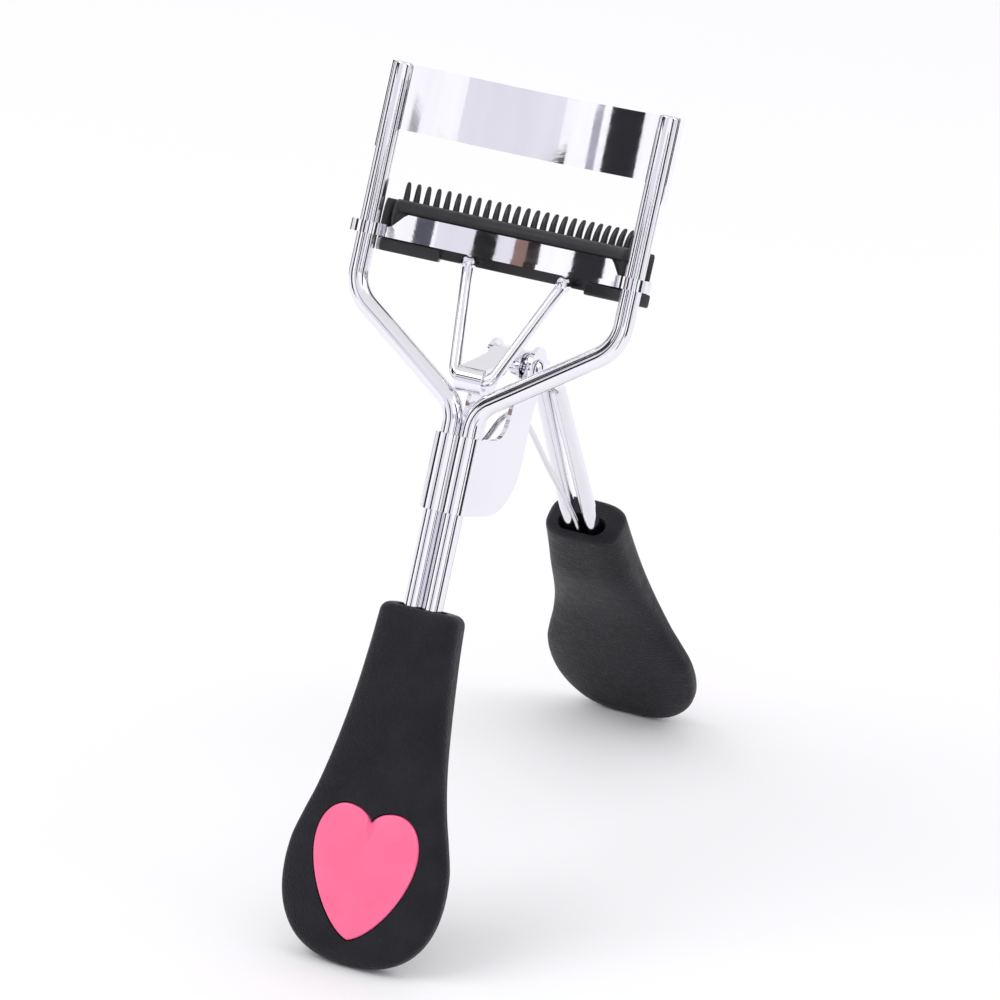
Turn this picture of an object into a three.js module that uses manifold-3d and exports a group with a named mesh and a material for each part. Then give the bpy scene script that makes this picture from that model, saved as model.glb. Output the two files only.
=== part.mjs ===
// Eyelash curler standing open on its two grips. Millimetres, +Z up, +X to the right, +Y to the rear.
// The frame leans back and carries the curved upper plate. The lash bar slides on the frame's side rails,
// pushed by a bent link from the short arm of a sprung lever. The lever turns on a rivet between two ears.
//
// The head leans a touch more than the handle: both wires fold to the rear at the throat.
// Handle axes: x across, y to the rear of the handle, z up along the handle from its rounded tip.
// Head axes: the same above the fold, with heights counted on from the handle.
// Lever axes: z up along the lever from the tip of the rear grip, y to the outer side.
import * as THREE from "three";
import { mergeVertices } from "three/addons/utils/BufferGeometryUtils.js";
import Module from "manifold-3d";

const wasm = await Module();
wasm.setup();

// ---- driving dimensions ---------------------------------------------------------------------------
const HANDLE_LEAN = THREE.MathUtils.degToRad(19.5);  // handle leans to the rear
const HEAD_LEAN = THREE.MathUtils.degToRad(20.1);    // head leans a touch further
const LEVER_LEAN = THREE.MathUtils.degToRad(33.2);   // lever leans to the front

const WIRE_R = 1.2;            // frame wire radius
const WIRE_U = 1.22;           // half spacing of the two wires in the throat
const RAIL_U = 16.75;          // half spacing of the side rails
const THROAT_V = 66.3;         // height of the lower bend and of the fold
const CORNER_V = 76.9;         // height of the upper bend
const FRAME_TOP = 104;

const ARC_R = 30.5;            // plan radius of plate, bar, pad and comb
const ARC_N = 6.85;            // how far the middle of that arc lies behind the rails

const PLATE_T = 0.5;
const PLATE_BOTTOM = 96.3;
const TAB_BOTTOM = 93.4;       // lower ends of the tabs that curl round the rails

const GRIP_LENGTH = 42.6;
const WIRE_END = 33.5;         // how far down the wires reach inside a grip
const FRONT_SHIFT = 0.9;       // grip middle to the rear of the front wires
const REAR_SHIFT = -1.25;      // grip middle to the outer side of the lever wires
const REAR_SWELL = 0.95;       // extra depth on the inner side of the rear grip's neck
const FOOT_CUT = 0.16;         // depth of the small flat each grip stands on

const CLAMP_BOTTOM = 54.1;
const CLAMP_TOP = 63.1;
const CLAMP_T = 0.5;

const PIVOT = { n: 12.6, v: 72.05 };        // lever rivet, in handle axes
const BEND = { n: 25.3, v: 70.35 };         // bend of the lever wires, in handle axes
const PIN = { n: -0.1, v: 69.8 };           // cross section of the link at rest, in head axes
const CURL = { n: 0.15, v: 69.61 };         // centre of the lever head's curl, in head axes
const BALL = { u: 6.1, n: 6.45, v: 82.63 }; // upper ends of the link, in head axes
const LEVER_WIRE_R = 1.0;

const BAR_BOTTOM = 83.65;
const TEETH = 27;

// ---- materials ------------------------------------------------------------------------------------
const chrome = () => new THREE.MeshStandardMaterial({ color: 0xe6e6ee, roughness: 0.08, metalness: 1 });
const blackGrip = () => new THREE.MeshStandardMaterial({ color: 0x101114, roughness: 0.5, metalness: 0 });
const blackPad = () => new THREE.MeshStandardMaterial({ color: 0x0c0c0d, roughness: 0.6, metalness: 0 });
const blackComb = () => new THREE.MeshStandardMaterial({ color: 0x0b0b0c, roughness: 0.35, metalness: 0 });
const pink = () => new THREE.MeshStandardMaterial({ color: 0xff5c93, roughness: 0.35, metalness: 0 });

// ---- small geometry kit -----------------------------------------------------------------------------
const v3 = (x, y, z) => new THREE.Vector3(x, y, z);
const lerp = THREE.MathUtils.lerp;
const smooth = (t) => THREE.MathUtils.smoothstep(t, 0, 1);

// A closed skin through a list of rings with equal point counts, ends closed by fans.
function loft(rings) {
  const m = rings[0].length;
  const positions = [];
  const index = [];
  rings.forEach((ring) => ring.forEach((p) => positions.push(p.x, p.y, p.z)));
  for (let i = 0; i + 1 < rings.length; i += 1) {
    for (let j = 0; j < m; j += 1) {
      const a = i * m + j;
      const b = i * m + ((j + 1) % m);
      index.push(a, b, b + m, a, b + m, a + m);
    }
  }
  const cap = (ring, start, flip) => {
    const c = ring.reduce((s, p) => s.add(p), v3(0, 0, 0)).divideScalar(m);
    const k = positions.length / 3;
    positions.push(c.x, c.y, c.z);
    for (let j = 0; j < m; j += 1) {
      const a = start + j;
      const b = start + ((j + 1) % m);
      index.push(...(flip ? [k, b, a] : [k, a, b]));
    }
  };
  cap(rings[0], 0, true);
  cap(rings[rings.length - 1], (rings.length - 1) * m, false);
  const g = new THREE.BufferGeometry();
  g.setAttribute("position", new THREE.Float32BufferAttribute(positions, 3));
  g.setIndex(index);
  return outward(g);
}

// Turns a closed skin inside out if its volume is negative.
function outward(g) {
  const p = g.getAttribute("position");
  const idx = g.getIndex();
  const at = (i) => v3().fromBufferAttribute(p, idx.getX(i));
  let volume = 0;
  for (let i = 0; i < idx.count; i += 3) {
    volume += at(i).dot(at(i + 1).cross(at(i + 2)));
  }
  if (volume < 0) {
    const flipped = [];
    for (let i = 0; i < idx.count; i += 3) {
      flipped.push(idx.getX(i), idx.getX(i + 2), idx.getX(i + 1));
    }
    g.setIndex(flipped);
  }
  return g;
}

// Corner points with each inner corner rounded by an arc; radii has one value per inner corner.
function rounded(points, radii, steps = 8) {
  const out = [points[0].clone()];
  for (let i = 1; i + 1 < points.length; i += 1) {
    const a = points[i - 1].clone().sub(points[i]).normalize();
    const b = points[i + 1].clone().sub(points[i]).normalize();
    const half = a.angleTo(b) / 2;
    const r = radii[i - 1];
    const centre = a.clone().add(b).normalize().multiplyScalar(r / Math.sin(half)).add(points[i]);
    const p = points[i].clone().addScaledVector(a, r / Math.tan(half)).sub(centre);
    const q = points[i].clone().addScaledVector(b, r / Math.tan(half)).sub(centre);
    const axis = p.clone().cross(q).normalize();
    const sweep = p.angleTo(q);
    for (let k = 0; k <= steps; k += 1) {
      out.push(p.clone().applyAxisAngle(axis, (sweep * k) / steps).add(centre));
    }
  }
  out.push(points[points.length - 1].clone());
  return out;
}

// Round wire along a list of points. side is a direction that is never parallel to the wire.
// radiusAt(i) gives the radius at point i.
function wire(points, radiusAt, side, around = 16) {
  const n = points.length;
  const rings = points.map((p, i) => {
    const before = points[Math.max(i - 1, 0)];
    const after = points[Math.min(i + 1, n - 1)];
    const t = after.clone().sub(before).normalize();
    const x = side.clone().addScaledVector(t, -side.dot(t)).normalize();
    const y = t.clone().cross(x);
    const r = radiusAt(i);
    return Array.from({ length: around }, (_, k) => {
      const a = (2 * Math.PI * k) / around;
      return p.clone().addScaledVector(x, r * Math.cos(a)).addScaledVector(y, r * Math.sin(a));
    });
  });
  return loft(rings);
}

const toManifold = (g) => {
  const bare = g.clone();
  bare.deleteAttribute("normal");
  bare.deleteAttribute("uv");
  const merged = mergeVertices(bare, 1e-4);
  return new wasm.Manifold(new wasm.Mesh({
    numProp: 3,
    vertProperties: new Float32Array(merged.getAttribute("position").array),
    triVerts: new Uint32Array(merged.getIndex().array),
  }));
};

const fromManifold = (solid) => {
  const mesh = solid.getMesh();
  const g = new THREE.BufferGeometry();
  g.setAttribute("position", new THREE.Float32BufferAttribute(Array.from(mesh.vertProperties), 3));
  g.setIndex(Array.from(mesh.triVerts));
  return g;
};

const join = (...list) => list.map(toManifold).reduce((a, b) => a.add(b));
const cut = (solid, ...list) => list.map(toManifold).reduce((a, b) => a.subtract(b), solid);

// Outline in x and y raised from z0 to z1.
function raise(shape, z0, z1, curveSegments = 12) {
  const g = new THREE.ExtrudeGeometry(shape, { depth: z1 - z0, bevelEnabled: false, curveSegments });
  return g.translate(0, 0, z0);
}

// Outline given in y and z (as shape x and y), raised along x from x0 to x1.
function raiseAcross(shape, x0, x1, curveSegments = 12) {
  const g = raise(shape, x0, x1, curveSegments);
  return g.applyMatrix4(new THREE.Matrix4().makeBasis(v3(0, 1, 0), v3(0, 0, 1), v3(1, 0, 0)));
}

const shapeOf = (pts) => new THREE.Shape(pts.map(([x, y]) => new THREE.Vector2(x, y)));
const rod = (r, length, around = 32) => new THREE.CylinderGeometry(r, r, length, around);
const upright = (r, x, y, z0, z1, around = 32) =>
  rod(r, z1 - z0, around).rotateX(Math.PI / 2).translate(x, y, (z0 + z1) / 2);
const across = (r, y, z, x0, x1, around = 24) =>
  rod(r, x1 - x0, around).rotateZ(Math.PI / 2).translate((x0 + x1) / 2, y, z);
const box = (x0, x1, y0, y1, z0, z1) =>
  new THREE.BoxGeometry(x1 - x0, y1 - y0, z1 - z0).translate((x0 + x1) / 2, (y0 + y1) / 2, (z0 + z1) / 2);

// Strip of even thickness along a 2D line, as a closed outline.
function strip(points, thickness) {
  const n = points.length;
  const normals = points.map((p, i) => {
    const a = points[Math.max(i - 1, 0)];
    const b = points[Math.min(i + 1, n - 1)];
    const d = new THREE.Vector2(b[0] - a[0], b[1] - a[1]).normalize();
    return [-d.y, d.x];
  });
  const side = (s) => points.map(([x, y], i) => [
    x + (s * normals[i][0] * thickness) / 2,
    y + (s * normals[i][1] * thickness) / 2,
  ]);
  return shapeOf([...side(1), ...side(-1).reverse()]);
}

// Point of the plan arc: offset o outward from the middle line, at angle a from the middle.
const arcAt = (o, a) => [(ARC_R + o) * Math.sin(a), ARC_N - ARC_R + (ARC_R + o) * Math.cos(a)];
const arcAngle = (halfWidth, o = 0) => Math.asin(halfWidth / (ARC_R + o));

// Plan outline between the arc offsets o1 and o2, out to a half width on both sides.
function arcBand(o1, o2, halfWidth, steps = 28) {
  const line = (o) => Array.from({ length: steps + 1 }, (_, i) =>
    arcAt(o, lerp(-arcAngle(halfWidth, o), arcAngle(halfWidth, o), i / steps)));
  return shapeOf([...line(o1), ...line(o2).reverse()]);
}

// Conversions between the leaning axes and the upright axes, all about the tip of the front grip.
const AXIS = v3(1, 0, 0);
const handleToWorld = (p) => p.clone().applyAxisAngle(AXIS, -HANDLE_LEAN);
const worldToHandle = (p) => p.clone().applyAxisAngle(AXIS, HANDLE_LEAN);
const HEAD_FOOT = handleToWorld(v3(0, 0, THROAT_V)).sub(v3(0, 0, THROAT_V).applyAxisAngle(AXIS, -HEAD_LEAN));
const headToWorld = (p) => p.clone().applyAxisAngle(AXIS, -HEAD_LEAN).add(HEAD_FOOT);
const headToHandle = (p) => worldToHandle(headToWorld(p));
const handleToHead = (p) => handleToWorld(p).sub(HEAD_FOOT).applyAxisAngle(AXIS, HEAD_LEAN);

// ---- frame: two bent wires ------------------------------------------------------------------------
function frameWire(side) {
  const corners = [
    handleToHead(v3(side * WIRE_U, 0, WIRE_END)),
    v3(side * WIRE_U, 0, THROAT_V),
    v3(side * RAIL_U, 0, CORNER_V),
    v3(side * RAIL_U, 0, FRAME_TOP),
  ];
  const path = rounded(corners, [4, 5], 9);
  return wire(path, () => WIRE_R, v3(0, 1, 0), 20);
}

// ---- upper plate: arc of sheet whose ends curl round the rails ---------------------------------------
function upperPlate() {
  const curlR = WIRE_R + 0.07 + PLATE_T / 2;
  const end = Math.asin(RAIL_U / (ARC_R - curlR));
  const tangent = arcAt(0, end);
  const plan = [];
  for (let i = 0; i <= 36; i += 1) {
    plan.push(arcAt(0, lerp(-end, end, i / 36)));
  }
  const curlCentre = [tangent[0] - curlR * Math.sin(end), tangent[1] - curlR * Math.cos(end)];
  for (let i = 1; i <= 5; i += 1) {
    const a = lerp(end, THREE.MathUtils.degToRad(72), i / 5);
    const x = curlCentre[0] + curlR * Math.sin(a);
    const y = curlCentre[1] + curlR * Math.cos(a);
    plan.push([x, y]);
    plan.unshift([-x, y]);
  }
  const sheet = raise(strip(plan, PLATE_T), TAB_BOTTOM, FRAME_TOP);
  const underside = shapeOf([
    [-16.4, PLATE_BOTTOM], [16.4, PLATE_BOTTOM], [17.6, TAB_BOTTOM + 1.2], [18.9, TAB_BOTTOM - 0.2],
    [18.9, TAB_BOTTOM - 1], [-18.9, TAB_BOTTOM - 1], [-18.9, TAB_BOTTOM - 0.2], [-17.6, TAB_BOTTOM + 1.2],
  ]);
  const cutter = raise(underside, -12, 12).rotateX(Math.PI / 2);
  return fromManifold(cut(toManifold(sheet), cutter));
}

// ---- front clamp: sheet wrapped round both wires, its cheeks sweeping back to two ears ------------------
function frontClamp() {
  const inner = WIRE_R + 0.05;
  const outer = inner + CLAMP_T;
  const wrapOutline = (r) => {
    const s = new THREE.Shape();
    s.moveTo(WIRE_U + r, 0.4);
    s.lineTo(WIRE_U + r, 0);
    s.absarc(WIRE_U, 0, r, 0, Math.acos(WIRE_U / r) - Math.PI, true);
    s.absarc(-WIRE_U, 0, r, -Math.acos(WIRE_U / r), -Math.PI, true);
    s.lineTo(-WIRE_U - r, 0.4);
    return s;
  };
  const wrap = cut(
    toManifold(raise(wrapOutline(outer), CLAMP_BOTTOM, CLAMP_TOP)),
    raise(wrapOutline(inner), CLAMP_BOTTOM - 1, CLAMP_TOP + 1),
    box(-WIRE_U - inner, WIRE_U + inner, 0, 1, CLAMP_BOTTOM - 1, CLAMP_TOP + 1),
  );
  const cheek = new THREE.Shape();
  cheek.moveTo(0, CLAMP_BOTTOM);
  cheek.lineTo(6.4, CLAMP_BOTTOM + 0.2);
  cheek.bezierCurveTo(10.6, CLAMP_BOTTOM + 0.4, 13.8, 56.9, 14.05, 60.6);
  cheek.lineTo(14.05, 65.8);
  cheek.bezierCurveTo(14.1, 68, 15, 69.7, PIVOT.n + 2.7, PIVOT.v);
  cheek.absarc(PIVOT.n, PIVOT.v, 2.7, 0, Math.PI, false);
  cheek.bezierCurveTo(9.5, 70.2, 7.3, 69.4, 7.25, 67.2);
  cheek.bezierCurveTo(7.2, 64.9, 6.6, 63.5, 4.2, 63.3);
  cheek.lineTo(0, CLAMP_TOP);
  const x0 = WIRE_U + inner;
  const right = raiseAcross(cheek, x0, x0 + CLAMP_T, 10);
  const left = raiseAcross(cheek, -x0 - CLAMP_T, -x0, 10);
  const bridge = box(-x0 - 0.1, x0 + 0.1, 1.3, 1.8, CLAMP_BOTTOM + 0.8, CLAMP_BOTTOM + 6);
  const body = wrap.add(join(right, left, bridge));
  const pinHole = across(0.84, PIVOT.n, PIVOT.v, -5, 5);
  return fromManifold(cut(body, pinHole));
}

// ---- pivot rivet ------------------------------------------------------------------------------------
function pivotPin() {
  const x = WIRE_U + WIRE_R + 0.05 + CLAMP_T;
  const profile = [
    [0, -x - 0.75], [0.55, -x - 0.7], [1.05, -x - 0.5], [1.3, -x - 0.2], [1.3, -x - 0.04], [0.8, -x - 0.04],
    [0.8, x + 0.04], [1.3, x + 0.04], [1.3, x + 0.2], [1.05, x + 0.5], [0.55, x + 0.7], [0, x + 0.75],
  ].map(([r, h]) => new THREE.Vector2(r, h));
  const turned = fromManifold(toManifold(outward(new THREE.LatheGeometry(profile, 20))));
  return turned.rotateZ(Math.PI / 2).translate(0, PIVOT.n, PIVOT.v);
}

// Thin washer between an ear of the clamp and the lever head.
function pivotWasher(side) {
  const x0 = 2.09;
  const x1 = WIRE_U + WIRE_R + 0.01;
  const [a, b] = side > 0 ? [x0, x1] : [-x1, -x0];
  const disc = toManifold(across(1.7, PIVOT.n, PIVOT.v, a, b, 28));
  return fromManifold(cut(disc, across(0.86, PIVOT.n, PIVOT.v, a - 1, b + 1, 20)));
}

// ---- grips --------------------------------------------------------------------------------------------
// Half width and faces of the paddle at height v above its rounded end; the outer face looks to -y.
const gripSide = new THREE.SplineCurve([
  [10.8, 10.25], [13.4, 10], [16.5, 9.15], [20, 8.1], [25, 7], [31, 6.05], [37, 5.4], [GRIP_LENGTH, 5],
].map(([x, y]) => new THREE.Vector2(x, y)));

function gripSections(swell) {
  const end = [0.04, 0.25, 0.7, 1.4, 2.4, 3.7, 5.3, 7.1, 9];
  const list = end.map((v) => ({ v, a: 10.25 * (1 - (1 - v / 10.8) ** 2.4) ** (1 / 2.4) }));
  gripSide.getPoints(17).forEach((p) => list.push({ v: p.x, a: p.y }));
  return list.map(({ v, a }) => {
    const tipRound = v < 2.4 ? Math.sqrt(1 - (1 - v / 2.4) ** 2 * 0.9) : 1;
    const topRound = v > GRIP_LENGTH - 0.9 ? 0.93 : 1;
    const outer = lerp(-2.6, -3.1, smooth((v - 18) / 20));
    const inner = lerp(1.3, 2.4 + swell, smooth((v - 21) / 14));
    return {
      v,
      a: a * (topRound < 1 ? 0.97 : 1),
      mid: (outer + inner) / 2,
      b: ((inner - outer) / 2) * tipRound * topRound,
    };
  });
}

function gripBlank(shift, swell) {
  const around = 44;
  const bulge = 2 / 3.1;
  const sections = gripSections(swell);
  sections.splice(-1, 0, { ...sections[sections.length - 2], v: GRIP_LENGTH - 0.95 });
  sections.sort((p, q) => p.v - q.v);
  const ring = ({ v, a, mid, b }) => Array.from({ length: around }, (_, k) => {
    const t = (2 * Math.PI * k) / around;
    const c = Math.cos(t);
    const s = Math.sin(t);
    const y = shift + mid + b * Math.sign(s) * Math.abs(s) ** bulge;
    return v3(a * Math.sign(c) * Math.abs(c) ** bulge, y, v);
  });
  return loft(sections.map(ring));
}

// Heart outline in x and z, grown by g.
function heartOutline(g = 0, scale = 1) {
  const c = 12.2;
  const k = (x, z) => [(x + Math.sign(x) * g) * scale, c + (z + Math.sign(z) * g) * scale];
  const s = new THREE.Shape();
  s.moveTo(...k(0, -9.1));
  s.bezierCurveTo(...k(2.9, -8.3), ...k(6.7, -2.4), ...k(6.55, 2));
  s.bezierCurveTo(...k(6.45, 5.2), ...k(4.6, 6.5), ...k(3.1, 6.5));
  s.bezierCurveTo(...k(1.7, 6.5), ...k(0.5, 5.9), ...k(0, 4.9));
  s.bezierCurveTo(...k(-0.5, 5.9), ...k(-1.7, 6.5), ...k(-3.1, 6.5));
  s.bezierCurveTo(...k(-4.6, 6.5), ...k(-6.45, 5.2), ...k(-6.55, 2));
  s.bezierCurveTo(...k(-6.7, -2.4), ...k(-2.9, -8.3), ...k(0, -9.1));
  return s;
}

const HEART_FLOOR = -1.5;

// Paddle with the heart recess, the wire socket and the flat it stands on.
function grip(tilt, floor, shift, swell) {
  const recess = raise(heartOutline(0.08), -HEART_FLOOR - shift, 8, 10)
    .applyMatrix4(new THREE.Matrix4().makeBasis(v3(1, 0, 0), v3(0, 0, 1), v3(0, -1, 0)));
  const socket = new THREE.Shape();
  socket.absarc(1.75, 0, 1.35, -Math.PI / 2, Math.PI / 2, false);
  socket.absarc(-1.75, 0, 1.35, Math.PI / 2, 1.5 * Math.PI, false);
  const bore = raise(socket, WIRE_END - 0.4, GRIP_LENGTH + 1, 12);
  const solid = cut(toManifold(gripBlank(shift, swell)), recess, bore);
  const up = [0, -Math.sin(tilt), Math.cos(tilt)];
  return fromManifold(solid.trimByPlane(up, floor + FOOT_CUT));
}

// Lowest point of the untrimmed grip when it leans by tilt.
function gripLow(tilt, shift) {
  const g = gripBlank(shift, 0).rotateX(-tilt);
  g.computeBoundingBox();
  return g.boundingBox.min.z;
}

// Domed heart that sits in the recess.
function heart(shift) {
  const levels = [
    [HEART_FLOOR - 0.05, 1], [-2.45, 1], [-2.72, 0.965], [-2.88, 0.86], [-2.98, 0.6], [-3.02, 0.3],
  ];
  const outline = heartOutline().getPoints(9).slice(0, -1);
  return loft(levels.map(([y, s]) => outline.map((p) => v3(p.x * s, y + shift, 12.2 + (p.y - 12.2) * s))));
}

// ---- lash bar: curved channel with an eyelet on each rail ---------------------------------------------
function lashBar() {
  const z = BAR_BOTTOM;
  const front = arcBand(-1.9, -1.4, 15.4);
  const floor = arcBand(-2.3, 1.5, 15.4);
  const rear = arcBand(1, 1.5, 15.2);
  const body = join(
    raise(front, z, z + 3.05),
    raise(floor, z, z + 0.6),
    raise(rear, z, z + 2.9),
  );
  const corner = (s) => raiseTowardRear(shapeOf([
    [s * 12.6, z + 3.3], [s * 13.3, z + 2.7], [s * 14.3, z + 1.4], [s * 15.3, z + 0.9], [s * 17, z + 0.9],
    [s * 17, z + 3.3],
  ]), -3, 4);
  const railHoles = [RAIL_U, -RAIL_U].map((x) => upright(WIRE_R + 0.15, x, 0, z - 1, z + 4, 32));
  const stemHoles = [BALL.u, -BALL.u].map((x) => upright(0.56, x, BALL.n, z - 1, z + 1, 20));
  const trimmed = cut(body, corner(1), corner(-1));
  const eyelets = join(
    upright(2.15, RAIL_U, 0, z, z + 1.4),
    upright(2.15, -RAIL_U, 0, z, z + 1.4),
  );
  return fromManifold(cut(trimmed.add(eyelets), ...railHoles, ...stemHoles));
}

// Outline given in x and z, raised along y from y0 to y1.
function raiseTowardRear(shape, y0, y1) {
  const g = raise(shape, -y1, -y0);
  return g.applyMatrix4(new THREE.Matrix4().makeBasis(v3(1, 0, 0), v3(0, 0, 1), v3(0, -1, 0)));
}

// ---- silicone pad: round-topped roll seated in the channel ---------------------------------------------
function siliconePad() {
  const z = BAR_BOTTOM;
  const section = [
    [-1.3, 1.15], [-1.3, 3.1], [-1.62, 3.35], [-1.6, 3.9], [-1.2, 4.4], [-0.6, 4.65], [0, 4.7], [0.6, 4.6],
    [1.1, 4.2], [1.3, 3.6], [1.2, 3.15], [0.9, 2.9], [0.9, 1.15],
  ];
  const middle = [-0.15, 3];
  const reach = arcAngle(15.5);
  const stations = [];
  const steps = 34;
  for (let i = 0; i <= steps; i += 1) {
    stations.push([lerp(-reach, reach, i / steps), 1]);
  }
  [[0.018, 0.55], [0.009, 0.82]].forEach(([beyond, s]) => {
    stations.push([reach + beyond, s]);
    stations.push([-reach - beyond, s]);
  });
  stations.sort((p, q) => p[0] - q[0]);
  const rings = stations.map(([a, s]) => section.map(([o, h]) => {
    const [x, y] = arcAt(lerp(middle[0], o, s), a);
    return v3(x, y, z + lerp(middle[1], h, s));
  }));
  const clearEyelets = [RAIL_U, -RAIL_U].map((x) => upright(2.25, x, 0, z - 1, z + 1.5));
  const clearRails = [RAIL_U, -RAIL_U].map((x) => upright(WIRE_R + 0.2, x, 0, z - 1, z + 6));
  return fromManifold(cut(toManifold(loft(rings)), ...clearEyelets, ...clearRails));
}

// ---- comb: thin curved body behind the bar with a row of teeth -------------------------------------------
function lashComb() {
  const z = BAR_BOTTOM;
  const solids = [raise(arcBand(1.57, 2.37, 16), z - 1.2, z + 4.6)];
  [1, -1].forEach((s) => {
    const from = arcAngle(9.3);
    const to = arcAngle(16);
    const line = (o, n) => Array.from({ length: n + 1 }, (_, i) => arcAt(o, s * lerp(from, to, i / n)));
    solids.push(raise(shapeOf([...line(-0.6, 8), ...line(3, 8).reverse()]), z - 1.6, z - 0.06));
  });
  const reach = arcAngle(14.95, 1.97);
  for (let i = 0; i < TEETH; i += 1) {
    const a = lerp(-reach, reach, i / (TEETH - 1));
    const levels = [
      [4.3, 0, 0.37, 0.4], [5.4, 0.08, 0.34, 0.36], [6.3, 0.32, 0.3, 0.3], [6.9, 0.62, 0.2, 0.2],
    ];
    const rings = levels.map(([h, o, halfX, halfY]) => Array.from({ length: 8 }, (_, k) => {
      const t = (2 * Math.PI * k) / 8 + Math.PI / 8;
      const [x, y] = arcAt(1.97 + o + halfY * 1.08 * Math.sin(t), a + (halfX * 1.08 * Math.cos(t)) / ARC_R);
      return v3(x, y, z + h);
    }));
    solids.push(loft(rings));
  }
  return fromManifold(join(...solids));
}

// ---- link: one bent wire with a ball and headed stem at each upper end ----------------------------------
function linkWire() {
  const dir = v3(0, BALL.n - PIN.n, BALL.v - PIN.v).normalize();
  const top = (s) => v3(s * BALL.u, BALL.n, BALL.v);
  const low = (s) => v3(s * 2.3, PIN.n, PIN.v);
  const path = rounded([top(-1), low(-1), low(1), top(1)], [1.3, 1.3], 7);
  const bent = wire(path, () => 0.68, v3(0, dir.z, -dir.y), 14);
  const ends = [1, -1].flatMap((s) => [
    new THREE.SphereGeometry(0.96, 16, 12).translate(s * BALL.u, BALL.n, BALL.v),
    upright(0.42, s * BALL.u, BALL.n, BALL.v, BAR_BOTTOM + 1.05, 14),
  ]);
  return fromManifold(join(bent, ...ends));
}

// Push-on collar that keeps a stem of the link in the floor of the bar.
function linkCollar(side) {
  const ring = toManifold(upright(0.72, side * BALL.u, BALL.n, BAR_BOTTOM + 0.67, BAR_BOTTOM + 0.99, 20));
  return fromManifold(cut(ring, upright(0.45, side * BALL.u, BALL.n, BAR_BOTTOM, BAR_BOTTOM + 2, 14)));
}

// ---- lever ------------------------------------------------------------------------------------------------
const FRONT_LOW = gripLow(HANDLE_LEAN, FRONT_SHIFT);
const REAR_LOW = gripLow(LEVER_LEAN, REAR_SHIFT);

// Foot of the lever: the bend is carried down along the lever until both grips stand level.
const bendAt = handleToWorld(v3(0, BEND.n, BEND.v));
const leverReach = (bendAt.z - (FRONT_LOW - REAR_LOW)) / Math.cos(LEVER_LEAN);
const LEVER_FOOT = v3(0, bendAt.y + leverReach * Math.sin(LEVER_LEAN), FRONT_LOW - REAR_LOW);
const leverToHandle = (p) => worldToHandle(p.applyAxisAngle(AXIS, LEVER_LEAN).add(LEVER_FOOT));

function leverWire(side) {
  const rearOfPin = v3(side * 1.04, PIVOT.n + 3.1, PIVOT.v - 0.25);
  const bend = v3(side * 1.04, BEND.n, BEND.v);
  const foot = leverToHandle(v3(side * 1.68, 0, WIRE_END));
  return wire(rounded([rearOfPin, bend, foot], [3.4], 8), () => LEVER_WIRE_R, v3(1, 0, 0), 18);
}

// Stamped head: a strap that curls round the link in front, runs over the rivet between two small cheeks
// and lies on the lever wires behind.
function leverHead() {
  const t = 0.5;
  const r = 1.04 + t / 2;
  const leave = THREE.MathUtils.degToRad(107);
  const fromPivot = ([n, v]) => [PIVOT.n + n, PIVOT.v + v];
  const overPivot = [[-2.6, 1.5], [-0.4, 1.85], [2.6, 1.3], [6, 0.9]].map(fromPivot);
  const curl = headToHandle(v3(0, CURL.n, CURL.v));
  const line = [];
  for (let i = 0; i <= 14; i += 1) {
    const a = lerp(THREE.MathUtils.degToRad(318), leave, i / 14);
    line.push([curl.y + r * Math.cos(a), curl.z + r * Math.sin(a)]);
  }
  line.push(fromPivot([-7.7, 0.05]), ...overPivot);
  const strap = raiseAcross(strip(line, t), -1.6, 1.6);
  const wide = raiseAcross(strip([fromPivot([-4.6, 0.9]), ...overPivot], t), -2.05, 2.05);
  const cheek = new THREE.Shape();
  cheek.moveTo(...fromPivot([-4.4, 1]));
  cheek.bezierCurveTo(...fromPivot([-4, -0.9]), ...fromPivot([-2.2, -1.8]), ...fromPivot([0, -1.8]));
  cheek.bezierCurveTo(...fromPivot([1.4, -1.8]), ...fromPivot([2.8, -1.1]), ...fromPivot([2.9, 1.45]));
  cheek.lineTo(...fromPivot([-0.4, 2]));
  const plates = [[1.6, 2.05], [-2.05, -1.6]].map(([a, b]) => raiseAcross(cheek, a, b, 10));
  const body = join(strap, wide, ...plates);
  return fromManifold(cut(body, across(0.88, PIVOT.n, PIVOT.v, -4, 4)));
}

// Hairpin return spring: rises from the clamp, arches under the rivet and follows the lever into its grip.
function returnSpring() {
  const early = [
    [2.5, 56.6], [3.1, 58.6], [5.2, 60.7], [8.7, 63.1], [12.7, 65.8], [17, 66.4], [21.7, 64.9], [32, 59.9],
    [41.8, 55.5],
  ].map(([n, v]) => v3(0, n, v));
  const late = [[-1, 43.2], [-0.9, 37]].map(([y, z]) => leverToHandle(v3(0, y, z)));
  const curve = new THREE.CatmullRomCurve3([...early, ...late], false, "centripetal");
  return wire(curve.getPoints(44), () => 0.35, v3(1, 0, 0), 10);
}

// ---- assembly -----------------------------------------------------------------------------------------
function piece(name, geometry, material) {
  geometry.computeVertexNormals();
  const mesh = new THREE.Mesh(geometry, material);
  mesh.name = name;
  return mesh;
}

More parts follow.
